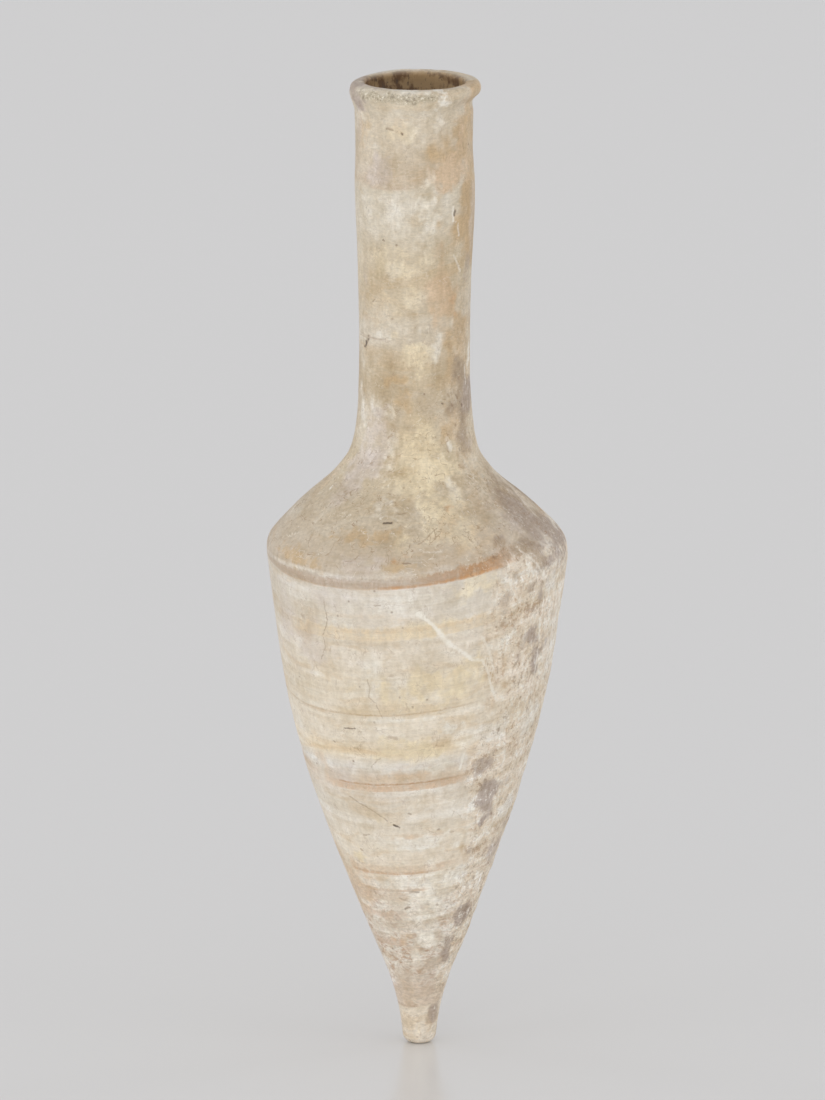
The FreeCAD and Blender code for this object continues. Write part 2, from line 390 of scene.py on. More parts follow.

# Patches of colour: azimuths from and to, layers from and to, and strength. Some also paint shade on
# the vessel's sides, as noted at them.
patches = {
    "chalk": [
        (18, 32, 297, 302.5, 1), (-4, 28, 42, 58, 1), (-8, 24, 35, 44, 0.7), (28, 46, 55, 64, 0.7),
        (38, 56, 96, 124, 0.4), (-110, -60, 292, 297, 0.5), (-70, 70, 300.8, 306, 0.6),
        (-25, 24, 152, 160, 0.5), (10, 19, 110.5, 115, 0.9), (-25, 12, 116, 119, 0.6),
        (-40, 20, 98.5, 102.5, 0.5), (-35, 15, 89, 93, 0.6), (-24, 22, 69, 76, 0.8),
        (-50, 24, 57.5, 62.3, 0.7), (-20, 2, 34, 38, 0.5), (-22, -14, 121, 136, 0.6),
        (-50, -42, 128, 136, 0.5), (57, 72, 72.5, 78.5, 1), (60, 67, 139, 151, 0.8),
        (66, 92, 100, 148, 0.5), (24, 35, 57, 62, 0.7), (46, 51, 131, 137, 0.6),
        (2, 23, 96, 102.5, 0.9), (-56, -24, 202, 210, 0.5), (-8, 8, 172, 180, 0.4),
        (-18, -3, 182, 192, 0.4), (13, 31, 282, 292, 0.4), (-60, -38, 84, 92, 0.4),
        (0, 22, 262, 275, 0.8), (-70, 24, 260, 272.5, 0.5), (0, 22, 251, 264, 0.7),
        (-30, -18, 245, 252, 0.7), (-54, -8, 282.5, 287, 0.4), (16, 30, 219, 227, 0.8),
        (0, 24, 284, 293, 0.5), (-64, 6, 226.4, 229.8, 0.4), (20, 62, 226, 236, 0.5),
        (-70, -38, 198, 214, 0.4), (32, 39, 189.5, 194, 0.6), (20, 33, 178, 188.5, 0.9),
        (-25, -7, 176.8, 181.5, 0.5), (72, 82, 211, 219, 0.9), (-96, -66, 205, 235, 0.3),
        (-72, -55, 195, 208, 0.5), (38, 46, 283, 287, 0.6), (10, 40, 232, 244, 0.3),
        (50, 74, 98, 112, 0.8), (28, 46, 103, 113, 0.9), (-40, -15, 162, 168, 0.4),
        (55, 66, 178, 186, 0.4), (150, 190, 70, 110, 0.5), (120, 165, 235, 262, 0.6),
        (-150, -115, 130, 150, 0.5), (-130, -95, 250, 275, 0.6),
    ],
    "ochre": [
        (-14, 30, 120.5, 134, 0.9), (-26, 13, 103, 110, 0.9), (-2, 16, 103.5, 107.5, 0.8),
        (-62, 32, 144.5, 148.6, 0.4), (-12, 22, 142, 149.5, 0.6), (-50, -37, 65.5, 71, 0.9),
        (-17, 26, 180, 200, 0.7), (0, 36, 168, 184, 0.5), (-8, 42, 179.5, 190, 1),
        (12, 35, 154, 162, 0.7), (-52, 20, 246, 259, 0.5), (-52, 12, 287, 293, 0.5),
        (-26, 14, 216, 226, 0.7), (-20, 16, 199, 212, 0.4), (-36, 10, 232, 242, 0.4),
        (44, 53, 102.5, 108.5, 0.9), (-12, 10, 4, 10, 0.5), (-30, -18, 81, 86, 0.5),
        (150, 210, 118, 134, 0.8), (160, 250, 183, 199, 0.7), (-160, -110, 100, 112, 0.8),
        (100, 150, 205, 222, 0.6),
    ],
    "tan": [
        (-34, -10, 211.5, 218.5, 1), (-18, 4, 204, 211, 0.8), (28, 64, 204, 219, 0.9),
        (44, 72, 216, 228, 0.8), (20, 74, 244, 270, 1), (24, 66, 192, 203, 0.9),
        (42, 66, 184, 192, 0.9), (-60, -24, 274, 280, 0.6), (36, 70, 284, 291, 0.6),
        # (-75, -46, 282, 294) is partly tan and partly painted shade on the neck's left edge.
        (-75, -46, 282, 294, 0.6), (-20, -6, 289, 296, 0.4), (-64, -34, 236, 250, 0.5),
        (42, 62, 177, 184, 0.4), (50, 76, 166, 175, 1), (-42, -8, 172.4, 176, 0.8),
        (8, 62, 163, 176, 0.4), (-66, -40, 164.6, 169.6, 0.8), (-17, -2, 163.6, 168.4, 0.8),
        # (30, 112, 214, 300) and (48, 100, 228, 296) are partly reddish tan and partly painted shade
        # on the neck's right edge.
        (30, 112, 214, 300, 0.75), (48, 100, 228, 296, 0.4), (-60, -47, 142, 152, 0.6),
        (34, 50, 142, 160, 1), (31, 42, 122, 134, 0.8), (26, 37, 111, 123, 0.6),
        (24, 33, 99, 106, 0.6), (0, 20, 126, 134, 0.3), (44, 52, 236, 252, 0.5),
        (-60, 20, 14.2, 20, 0.3), (-50, 10, 20, 33, 0.3), (27, 35, 64, 72, 0.8),
        (-46, 30, 168, 174, 0.3), (54, 68, 168.5, 175, 0.9), (-52, -36, 54, 59, 0.2),
        (18, 60, 2, 14, 0.9), (-24, 4, 95.5, 99, 0.5), (30, 45, 225, 245, 0.4),
        (110, 150, 60, 90, 0.6), (170, 220, 20, 50, 0.6), (-170, -120, 205, 225, 0.8),
        (90, 140, 262, 284, 0.6), (-180, -140, 150, 159, 0.4),
    ],
    "rose": [
        # (-80, -44, 40, 68) is partly rose and partly painted shade on the body's left edge.
        (28, 80, 291, 302, 0.4), (-80, -44, 40, 68, 0.7), (-60, -36, 52, 57, 0.7),
        (-30, 2, 39, 43, 0.6), (-20, 14, 31, 36, 0.5), (14, 48, 230, 252, 0.9),
        (17, 68, 270, 283, 0.9), (18, 40, 270, 277, 0.7), (-42, -20, 36.3, 40, 1),
        (-38, -22, 45, 50, 0.6), (44, 57, 77, 83, 0.8), (26, 46, 28, 35, 0.6), (-14, 12, 96, 100, 0.7),
        (-20, 14, 75.5, 77.5, 0.6), (-60, -44, 92, 102, 0.5), (5, 30, 157, 160, 0.3),
        (-12, 0, 197, 206, 0.4), (32, 44, 62, 67, 0.7), (-15, 25, 240, 243, 0.3),
        (-62, -30, 30, 34, 0.6), (150, 180, 240, 270, 0.6), (-140, -100, 60, 75, 0.5),
        (-100, -70, 176, 190, 0.4),
    ],
    "rust": [
        (34, 62, 293, 300, 0.2), (16, 42, 161.2, 164.4, 0.5), (30, 46, 160, 166, 0.8),
        (16, 24, 176.2, 178.3, 0.7), (40, 54, 232, 240, 0.5), (-66, -42, 118.2, 119.6, 0.3),
        (-48, -40, 62, 64.5, 0.6), (-38, -8, 13.9, 15.6, 0.4), (-14, -4, 168, 170, 0.7),
        (20, 34, 250, 258, 0.4), (15, 21, 63.5, 66.5, 0.7), (2, 8, 55.5, 58, 0.5),
        (46, 56, 128, 140, 0.6), (170, 215, 161, 163.4, 0.7),
    ],
    "lilac": [
        (-110, -44, 297, 306, 0.7), (-31, -13, 163.5, 169.5, 0.8), (44, 80, 163, 172, 0.9),
        (-66, -2, 273.5, 284, 0.8), (-60, -24, 188, 206, 0.8), (60, 82, 160, 169, 0.9),
        (-50, -32, 94, 102, 0.6), (-80, -62, 284, 294, 0.6), (-45, 10, 89.5, 92.5, 0.4),
        (-60, -30, 131, 143, 0.5), (-80, -38, 136, 160, 0.6), (28, 60, 38, 52, 0.7),
        (-70, -40, 176, 190, 0.6), (-20, 22, 100, 102.5, 0.4), (-48, -20, 152, 160, 0.4),
        (-68, -52, 232, 258, 0.5), (66, 86, 240, 268, 0.5), (44, 62, 164, 170, 0.8),
        (-35, 0, 44, 49, 0.4), (-30, 12, 22, 30, 0.3), (100, 160, 176, 196, 0.6),
        (-170, -120, 262, 290, 0.6), (-130, -80, 20, 50, 0.5),
    ],
    "brown": [
        (42, 76, 186, 220, 1), (30, 50, 196, 212, 0.8), (56, 88, 164, 182, 1), (42, 62, 184, 195, 0.8),
        # (56, 100, 151, 172) is partly brown crust and partly painted shade on the right of the ridge.
        (28, 54, 159, 167, 0.9), (30, 43, 142, 158, 1), (44, 60, 152, 164, 1), (56, 100, 151, 172, 1),
    ],
    "grey": [
        (-125, -48, 297.5, 307, 0.9), (44, 76, 165, 180, 0.5), (50, 82, 180, 200, 0.4),
        # (58, 90, 190, 212) is painted shade on the right of the lower neck.
        (58, 90, 190, 212, 0.8), (51, 60, 138, 150, 0.6), (47, 57, 128, 141, 0.7),
        (54, 67, 122, 131, 0.8), (31, 44, 93, 101, 0.6), (37, 51, 75, 91, 0.9), (49, 64, 80, 94, 0.8),
        (39, 45, 73, 77.5, 0.9), (34, 44, 65.5, 70, 0.6), (34, 66, 37, 52, 1), (28, 46, 26, 36, 0.8),
        # (47, 90, 154, 168) and (56, 92, 152, 162) are partly grey crust and partly painted shade on
        # the right of the ridge.
        (47, 90, 154, 168, 1), (56, 92, 152, 162, 1), (60, 84, 55, 72, 0.5), (55, 75, 240, 247, 0.5),
        (20, 60, 3, 16, 0.8), (150, 176, 86, 104, 0.8), (-165, -140, 168, 182, 0.7),
        (105, 122, 128, 150, 0.8), (-140, -122, 188, 204, 0.6),
    ],
    "white": [
        (0, 29, 40, 60, 1), (-18, 16, 32, 43, 0.9), (-14, 10, 50, 61, 0.8), (6, 30, 64, 76, 0.8),
        (-6, 24, 82, 95, 0.5), (-2, 22, 265, 277, 0.6), (-2, 30, 289, 299, 0.5),
        (-6, 22, 250, 264, 0.4), (-29, -15, 184, 198, 0.4), (54, 78, 102, 116, 0.9),
        (42, 52, 141, 149, 0.7), (34, 46, 103, 113, 0.5), (-20, -4, 43, 51, 0.5),
        (14, 29, 104, 112, 0.6), (-33, -18, 195, 204, 0.4),
    ],
}


# Cracks, pits and pale scratches: half width, strength, and azimuth and layer
# of each point
dark_marks = [
    (0.5, 1, [(-63.5, 222.7), (-55.5, 226.2)]), (0.13, 0.6, [(-63, 223.1), (-60, 221.2)]),
    (0.15, 0.4, [(-78, 225.2), (-56, 225.9), (-32, 226.5)]), (0.35, 0.6, [(-27, 291.7), (-21, 291.3)]),
    (0.32, 0.9, [(-12, 290.2), (-11, 289.9)]), (0.4, 0.8, [(42, 263), (41, 261.8)]),
    (0.3, 0.8, [(-33, 257.3), (-32, 257.1)]), (0.22, 0.6, [(-49, 237.4), (-46, 238.2)]),
    (0.28, 0.5, [(-24, 233), (-23, 232.8)]), (0.16, 0.45, [(-68, 213), (-66, 210), (-63, 207.5)]),
    (0.3, 0.5, [(52, 210.9), (53, 210.1)]), (0.5, 0.6, [(44.5, 207.1), (45.5, 206.5)]),
    (0.4, 0.5, [(36, 206.8), (37, 206.4)]), (0.3, 0.8, [(29, 204.8), (29.6, 204.5)]),
    (0.4, 0.6, [(40.5, 203.3), (41.5, 203)]), (0.4, 0.7, [(55.5, 201.8), (56.5, 201.4)]),
    (0.35, 0.6, [(48, 205), (49.5, 204.4)]), (0.3, 0.6, [(44, 196.9), (44.4, 196.5)]),
    (0.3, 0.6, [(46, 189.6), (46.4, 189)]), (0.42, 1, [(-15.6, 176.7), (-12.2, 176.6)]),
    (0.24, 0.5, [(-9, 178.3), (-5, 178.2)]),
    (0.2, 0.45, [(1, 171.3), (4, 171.9), (8, 173.3), (11, 173.8)]),
    (0.26, 0.6, [(-5.6, 167.8), (-2.4, 167.4)]), (0.18, 0.4, [(22, 170.9), (24, 169.9), (26, 168.2)]),
    (0.18, 0.4, [(-52, 172.7), (-51, 171), (-49, 170.2)]),
    (0.18, 0.4, [(-29, 168.6), (-26, 168.7), (-23, 170.6)]),
    (0.24, 0.6, [(17.5, 157.6), (18.2, 157.4)]), (0.24, 0.5, [(-16.4, 155.4), (-14.4, 155.5)]),
    (0.5, 0.4, [(-52.6, 149.2), (-51.4, 148.6)]),
    (0.17, 0.5, [(-39, 156), (-38, 149.1), (-41, 144.1), (-40, 140.8), (-43, 136.3)]),
    (0.18, 0.4, [(-21, 131.1), (-20, 128.1), (-21, 125.2), (-18, 123.4), (-15, 118.6)]),
    (0.14, 0.4, [(-17, 104.8), (-19, 103.9), (-23, 101.3)]),
    (0.24, 0.5, [(-60.6, 127.4), (-59.2, 127.7)]), (0.2, 0.8, [(-34.5, 114.2), (-28.5, 114.4)]),
    (0.45, 0.45, [(-12.8, 112), (-9.2, 111.3)]), (0.26, 0.6, [(-42.2, 108.9), (-41.7, 108.8)]),
    (0.22, 0.4, [(-30.6, 107.7), (-28.6, 107.5)]), (0.3, 0.35, [(9.4, 107.4), (12.6, 106.8)]),
    (0.2, 0.5, [(-39, 90.2), (-33, 88.2), (-30, 87.4), (-26, 86.3), (-19, 83.3), (-17, 82.4)]),
    (0.3, 1, [(-13.5, 80.9), (-10.7, 80)]), (0.28, 0.6, [(-4.6, 84.7), (-3.4, 84.5)]),
    (0.28, 0.6, [(12.6, 77.7), (13.6, 77.5)]), (0.3, 0.5, [(21, 75.9), (22.6, 75.7)]),
    (0.26, 0.5, [(-35, 76.6), (-31, 77.2)]), (0.4, 0.6, [(39.9, 66.7), (40.7, 66.3)]),
    (0.28, 0.5, [(-40.6, 70.9), (-39.4, 70.7)]), (0.4, 0.4, [(-39.2, 56.2), (-38.4, 54.8)]),
    (0.36, 0.6, [(-6.2, 56.2), (0.2, 56)]), (0.26, 0.4, [(-16, 54.2), (-12, 53.4), (-8, 52.8)]),
    (0.36, 0.7, [(-11.4, 50.1), (-8, 50.7)]), (0.3, 0.6, [(16.7, 50.5), (17.2, 50.1)]),
]
pale_marks = [
    (0.75, 1, [(0.5, 152), (3, 150.2)]), (0.45, 0.9, [(3, 150.2), (5.5, 148.2), (8, 145.8)]),
    (0.7, 1, [(8, 145.8), (11, 142.4), (14, 139.8)]),
    (0.5, 0.9, [(14, 139.8), (19, 136.6), (23, 133.6)]),
    (0.4, 0.6, [(23, 133.6), (28, 132.2), (31, 128), (33, 123), (37, 117)]),
    (0.4, 0.5, [(27, 140), (31, 134), (35, 125)]), (0.35, 0.8, [(23, 102.4), (22, 97.6)]),
    (0.4, 0.8, [(-68.5, 181.5), (-67, 181.1)]),
    (0.6, 0.35, [(32.5, 193.8), (34, 192.4), (35.6, 190.6)]), (0.8, 0.2, [(26, 183.4), (26, 181)]),
    (0.24, 0.35, [(3, 169.4), (7, 168.9), (11, 168.6)]),
    (0.4, 0.3, [(-19, 178.2), (-13, 178), (-9, 177)]),
    (0.35, 0.7, [(40, 264.6), (39, 262.2), (40, 260.2)]), (0.35, 0.5, [(46, 258.6), (48, 255)]),
    (0.3, 0.5, [(42, 249.5), (47, 246.4), (52, 243.6)]), (0.3, 0.5, [(64, 213), (66, 207)]),
    (0.35, 0.8, [(45, 12.2), (46.6, 11.7)]), (0.35, 0.6, [(58, 138), (60, 128), (60, 118)]),
    (0.35, 0.5, [(46, 162), (52, 157), (58, 150)]), (0.35, 0.5, [(36, 158), (39, 152), (44, 147)]),
]


def unrolled_scale(azimuth, layer):
    """Millimetres on the outside for a degree round it and for a layer up it."""
    reach = 3.0
    rise = np.linalg.norm(spot(azimuth, layer + reach) - spot(azimuth, layer - reach)) / (2 * reach)
    return np.array([math.radians(1) * np.hypot(*spot(azimuth, layer)[:2]), rise])


def mark_fields(points, marks, name):
    """Each point's way off the nearest mark, and that mark's width and strength."""
    place = np.stack([azimuth_of(points), points @ layer_tilt], axis=1)
    way_off = np.full((len(points), 3), mark_reach)
    nearest = np.full(len(points), mark_reach)
    width, strength = np.ones(len(points)), np.zeros(len(points))
    for half_width, depth, line in marks:
        for start, end in zip(line, line[1:]):
            scale = unrolled_scale(*start)
            here = (place - start) * scale
            reach = (np.array(end) - start) * scale
            share = np.clip(here @ reach / (reach @ reach), 0, 1)
            here = here - share[:, None] * reach
            gap = np.hypot(*here.T)
            near = gap < nearest
            nearest[near] = gap[near]
            way_off[near, :2] = here[near]
            width[near], strength[near] = half_width, depth
    way_off[:, 2] = 0
    near = (nearest < mark_reach).astype(float)
    fields = {"": way_off, "_width": width, "_strength": strength, "_near": near}
    return {name + key: values for key, values in fields.items()}


def colour_fields(points, shown):
    """All that the stone's material reads from the mesh, at each point."""
    fields = {"crust": crust_of(points), **patch_masks(points)}
    for name, marks in (("dark_mark", dark_marks), ("pale_mark", pale_marks)):
        fields.update(mark_fields(points, marks, name))
        fields[name + "_near"] *= shown
    return fields


def patch_masks(points):
    """How strongly each colour shows at each point, with uneven edges."""
    azimuth, layer = azimuth_of(points), points @ layer_tilt
    warps = [(3.0, rough(points, 2.2, 3, 2.2, 0.6)), (7.0, rough(points, 5.0, 4, 5.1, 0.6)),
             (math.inf, rough(points, 11.0, 4, 9.4, 0.6))]
    off_axis = fade(radius_of(points), 1, 4)
    masks = {}
    for key, places in patches.items():
        total = np.zeros(len(points))
        for left, right, low, high, strength in places:
            half_rise = (high - low) / 2
            u = ((azimuth - (left + right) / 2 + 180) % 360 - 180) / ((right - left) / 2)
            v = (layer - (low + high) / 2) / half_rise
            near = np.flatnonzero(u * u + v * v < 9)
            warp = next(field for reach, field in warps if half_rise < reach)[near]
            d = np.hypot(u[near], v[near]) + 0.8 * warp
            total[near] = 1 - (1 - total[near]) * (1 - strength * fade(d, 1.5, 0.1))
        masks[key] = total * off_axis
    return masks


# Wear. Each pair is a height and how far the hand-turned axis strays sideways.
strays = [
    (0, 1.05), (20, 1.08), (33, 1.1), (45, 0.7), (62, 0.45), (88, 0.05), (110, 0.12),
    (153, 0.38), (164, 0), (176, -0.6), (190, -0.38), (230, -0.38), (262, -0.26), (280, -0.65),
    (292, -0.65), (300, -0.3),
]


def drift(height):
    return np.interp(height, *zip(*strays))


def crust_of(points):
    """Where a mineral crust covers the vessel, mostly on its right side."""
    azimuth, height = azimuth_of(points), points[:, 2]
    edge = 31 + 8 * rough(points, 15, 3, 11.0) + 5 * rough(points, 3.0, 2, 5.0)
    right = fade(azimuth, edge - 5, edge + 7) * fade(azimuth + edge, 178, 140)
    body = within(height, 8, 26, 156, 168)
    neck = 0.35 * fade(azimuth, edge + 4, edge + 22) * fade(height, 250, 205)
    back = fade(rough(points, 22, 4, 21.0), 0.18, 0.5) * fade(np.abs(azimuth), 92, 118)
    return np.clip(right * np.maximum(body, neck) + 0.8 * back, 0, 1)


def relief(points):
    """How far the worn outside stands off the turned outline."""
    d = 0.20 * rough(points, 48, 1, 1.0) + 0.09 * rough(points, 14, 2, 2.0)
    d += 0.04 * rough(points, 3.2, 2, 4.0)
    d += crust_of(points) * (0.17 * rough(points, 4.0, 4, 6.0, 0.6) + 0.03)
    return d * (1 - 0.6 * fade(points[:, 2], 45, 15))


def lip_places(points):
    """Azimuths, depths below the rim, and 1 on the outside but 0 in the mouth."""
    outer = fade(radius_of(points), mouth_radius + 2, lip_root_radius)
    return azimuth_of(points), overall_height - points[:, 2], outer


def lip_grit(points):
    """Where grit sticks to the front of the lip."""
    azimuth, below, outer = lip_places(points)
    ragged = below + 0.6 * rough(points, 2.5, 3, 13.0)
    return outer * within(azimuth, -76, -50, 17, 25) * within(ragged, 0.3, 1.2, 2.7, 3.6)


def lip_wear(points):
    """Chips in the lip's grit, and stone left below its left side and front."""
    azimuth, below, outer = lip_places(points)
    grit = lip_grit(points) * (0.35 * rough(points, 1.3, 2, 13.0) - 0.12)
    left = within(azimuth, -160, -110, -66, -40)
    front = within(azimuth, -66, -40, 26, 54)
    fill = (0.9 * left + 0.95 * front * (1 - left)) * within(below, 2.4, 4.6, 5.4, 9)
    fill -= 0.35 * left * fade(below, 4, 2)
    roll = 0.15 * fade(below, 4.6, 3.6) - 0.35 * within(below, 4.6, 5.6, 7, 9)
    return outer * (grit + fill + roll * within(azimuth, 30, 62, 130, 170))


def rim_wave(points):
    """How far the rim rises or sinks as it goes round."""
    near_rim = fade(points[:, 2], overall_height - 7, overall_height - 2)
    return near_rim * 0.16 * rough(points * (1, 1, 0), 13, 2, 3.0)


# Meshes. Edges sharper than this, in degrees, stay sharp.
sharp_angle = 60


def turned_grid(outline, columns):
    """Points and directions of an outline turned round, row by row."""
    angles = np.arange(columns) * 2 * math.pi / columns
    side = np.stack([np.sin(angles), -np.cos(angles)], axis=1)
    along = np.gradient(outline, axis=0)
    along /= np.maximum(np.hypot(*along.T), same_point)[:, None]
    off = np.stack([along[:, 1], -along[:, 0]], axis=1)

    def spin(pairs):
        rows = pairs[:, None, :1] * side[None]
        heights = np.broadcast_to(pairs[:, None, 1:], rows.shape[:2] + (1,))
        return np.concatenate([rows, heights], axis=2)

    return spin(outline), spin(off)


def grid_faces(rows, columns, closed):
    """Quads between neighbouring rows, and from the last to the first if closed."""
    index = np.arange(rows * columns).reshape(rows, columns)
    following = np.roll(index, -1, axis=1)
    pairs = [(i, (i + 1) % rows) for i in range(rows if closed else rows - 1)]
    quads = [np.stack([index[a], following[a], following[b], index[b]], axis=1) for a, b in pairs]
    return np.concatenate(quads)


def make_mesh(name, points, quads, fans, fields):
    """An object from points in millimetres, quads, and fans of triangles."""
    mesh = bpy.data.meshes.new(name)
    mesh.from_pydata((points * MM).tolist(), [], quads.tolist() + fans)
    for key, values in fields.items():
        kind, slot = ("FLOAT_VECTOR", "vector") if values.ndim == 2 else ("FLOAT", "value")
        mesh.attributes.new(key, kind, "POINT").data.foreach_set(slot, values.ravel())
    mesh.polygons.foreach_set("use_smooth", [True] * len(mesh.polygons))
    mesh.set_sharp_from_angle(angle=math.radians(sharp_angle))
    mesh.update()
    piece = bpy.data.objects.new(name, mesh)
    bpy.context.collection.objects.link(piece)
    return piece


def body_stone():
    rest, shown, hidden = [joined(edges) for edges in body_outline()]
    outline = joined([rest, shown, hidden])[1:-1]
    grid, off = turned_grid(outline, body_columns)
    rows = len(outline)
    first, last = len(rest) - 1, len(rest) + len(shown) - 2
    weight = np.zeros(rows)
    weight[first:last] = 1
    weight *= fade(outline[:, 1], *foot_fade_heights)
    off[last - 1] = off[last - 2]
    points = grid.reshape(-1, 3)
    placed = points + off.reshape(-1, 3) * (relief(points) * np.repeat(weight, body_columns))[:, None]
    placed[:, 0] += drift(points[:, 2])
    floor_height = hidden[-1][1]
    ends = np.array([[drift(0), 0, 0], [drift(floor_height), 0, floor_height]])
    fields = colour_fields(points, np.repeat(weight > 0, body_columns))
    for key, values in fields.items():
        fields[key] = np.concatenate([values, np.zeros_like(values[:2])])
    foot, floor = len(placed), len(placed) + 1
    index = np.arange(rows * body_columns).reshape(rows, body_columns)
    fans = [(foot, int(b), int(a)) for a, b in zip(index[0], np.roll(index[0], -1))]
    fans += [(floor, int(a), int(b)) for a, b in zip(index[-1], np.roll(index[-1], -1))]
    quads = grid_faces(rows, body_columns, closed=False)
    return make_mesh("body_stone", np.concatenate([placed, ends]), quads, fans, fields)


def neck_stone():
    shown, mouth, hidden = [joined(edges) for edges in neck_outline()]
    outline = joined([shown, mouth, hidden])[:-1]
    grid, off = turned_grid(outline, neck_columns)
    order = np.arange(len(outline))
    mouth_end = len(shown) + len(mouth)
    weight = np.repeat(fade(order, mouth_end, mouth_end - mouth_fade_rows), neck_columns)
    points = grid.reshape(-1, 3)
    moved = (relief(points) + lip_wear(points)) * weight
    placed = points + off.reshape(-1, 3) * moved[:, None]
    placed[:, 0] += drift(points[:, 2])
    placed[:, 2] += rim_wave(points)
    fields = colour_fields(points, np.repeat(order < len(shown), neck_columns))
    fields["bore"] = np.repeat(fade(order - len(shown), *bore_tint_rows), neck_columns)
    fields["grit"] = lip_grit(points)
    quads = grid_faces(len(outline), neck_columns, closed=True)
    return make_mesh("neck_stone", placed, quads, [], fields)


def cement_line():
    """The thin ring of cement in the joint, flush with the worn stone."""
    corners = [
        at(ridge_radius, bed_bottom), at(ridge_radius, bed_top),
        at(spigot_radius, bed_top), at(spigot_radius, spigot_bottom),
        at(ledge_radius, spigot_bottom), at(ledge_radius, rebate_floor),
        at(rebate_radius, rebate_floor), at(rebate_radius, bed_bottom),
    ]
    grid, _ = turned_grid(np.array(corners), body_columns)
    points = grid.reshape(-1, 3)
    outer = radius_of(points) > bed_radius
    fields = {"lime": np.ones(len(points)), **colour_fields(points, outer)}
    sides = points * (1, 1, 0) / radius_of(points)[:, None]
    placed = points + sides * (relief(points) * outer)[:, None]
    placed[:, 0] += drift(points[:, 2])
    quads = grid_faces(len(corners), body_columns, closed=True)
    return make_mesh("cement_line", placed, quads, [], fields)


# Materials

def paint(red, green, blue):
    """A colour as the eye reads it, 0 to 255, turned to light values."""
    shares = [value / 255 for value in (red, green, blue)]
    return [s / 12.92 if s <= 0.04045 else ((s + 0.055) / 1.055) ** 2.4 for s in shares] + [1.0]


class Graph:
    """Short ways to add shader nodes to a material."""

    def __init__(self, material):
        material.use_nodes = True
        self.material = material
        self.tree = material.node_tree
        self.shader = self.tree.nodes["Principled BSDF"]

    def link(self, value, socket):
        if isinstance(value, bpy.types.NodeSocket):
            self.tree.links.new(value, socket)
        else:
            socket.default_value = value

    def add(self, kind, inputs, output=0, **settings):
        node = self.tree.nodes.new("ShaderNode" + kind)
        for key, value in settings.items():
            setattr(node, key, value)
        for key, value in inputs.items():
            self.link(value, node.inputs[key])
        return node.outputs[output]

    def math(self, operation, *values):
        return self.add("Math", dict(enumerate(values)), operation=operation)

    def times(self, value, *others):
        for other in others:
            value = self.math("MULTIPLY", value, other)
        return value

    def plus(self, value, other):
        return self.math("ADD", value, other)

    def linear(self, value, slope, base):
        """The value times a slope, plus a base."""
        return self.math("MULTIPLY_ADD", value, slope, base)

    def centred(self, noise):
        """Noise that lies round a half, brought round 0."""
        return self.math("SUBTRACT", noise, 0.5)

    def vector(self, operation, *values, output=0):
        return self.add("VectorMath", dict(enumerate(values)), output, operation=operation)

    def scaled(self, vector, share):
        return self.add("VectorMath", {0: vector, "Scale": share}, operation="SCALE")

    def fade(self, value, low, high, start=0.0, end=1.0):
        inputs = {"Value": value, "From Min": low, "From Max": high, "To Min": start, "To Max": end}
        return self.add("MapRange", inputs, interpolation_type="SMOOTHSTEP")

    def within(self, value, low, full, past, none):
        """1 between two fades, each given by where it starts and ends."""
        return self.times(self.fade(value, low, full), self.fade(value, none, past))

    def noise(self, where, size, detail=3.0, roughness=0.55, distortion=0.0):
        inputs = {"Vector": where, "Scale": 1 / size, "Detail": detail,
                  "Roughness": roughness, "Distortion": distortion}
        return self.add("TexNoise", inputs)

    def mix(self, share, first, second):
        return self.add("Mix", {0: share, 6: first, 7: second}, 2, data_type="RGBA")

    def over(self, colour, tint, *shares):
        """A tint laid over a colour, by the product of its shares."""
        return self.mix(self.times(*shares), colour, paint(*tint))

    def mask(self, name):
        return self.add("Attribute", {}, 2, attribute_name=name)


# Colours are red, green and blue from 0 to 255. Later tints lie over earlier ones.
palette = {
    "chalk": (227, 220, 206),
    "ochre": (223, 207, 175),
    "tan": (194, 168, 131),
    "rose": (205, 180, 149),
    "rust": (190, 150, 108),
    "lilac": (203, 190, 177),
    "brown": (160, 140, 114),
    "grey": (172, 156, 142),
    "white": (240, 233, 219),
}
# The cement's colour, which also paints the highlight along the ridge's left side.
lime = (230, 222, 208)

# Places where the crust takes on a tint: the patches' name, the mask's value
# where it starts, its strength and its colour. The grey's strength is raised so that it also paints
# shade on the right of the ridge.
crust_areas = [
    ("grey", 0.15, 0.85, (174, 158, 145)),
    ("brown", 0.15, 0.7, (178, 158, 135)),
    ("chalk", 0.2, 0.6, (232, 226, 215)),
]

# Pale ridges and dark seams of the crust: size, stretch, half width and offset of
# the noise, where they show in the small noise, and their colour and strength
crust_lines = [
    (3.4, 0.5, 0.035, 9, 0.6, (240, 234, 222), 0.8),
    (3, 0.6, 0.03, 4, 0.4, (142, 118, 96), 0.7),
]

# The general colour of the layers, from the foot up
layer_colours = [
    (0, (216, 203, 184)), (12.8, (219, 206, 186)), (14.4, (208, 190, 170)), (22, (208, 193, 176)),
    (34, (210, 198, 181)), (42, (209, 196, 177)), (54, (219, 207, 188)), (63, (223, 209, 188)),
    (72, (225, 213, 193)), (88, (222, 212, 196)), (97, (214, 198, 178)), (101, (216, 208, 195)),
    (106, (226, 208, 178)), (110, (222, 210, 190)), (117, (225, 213, 193)), (127, (218, 205, 183)),
    (140, (219, 207, 188)), (156, (213, 203, 187)), (160.2, (218, 209, 195)), (161.2, (198, 184, 165)),
    (166, (195, 180, 159)), (176, (194, 178, 153)), (188, (196, 179, 149)), (203, (195, 179, 154)),
    (215, (195, 177, 148)), (227, (203, 190, 169)), (246, (203, 187, 160)), (260, (206, 194, 173)),
    (272.4, (211, 201, 183)), (273.8, (202, 185, 162)), (284, (203, 188, 165)), (300, (208, 196, 175)),
]

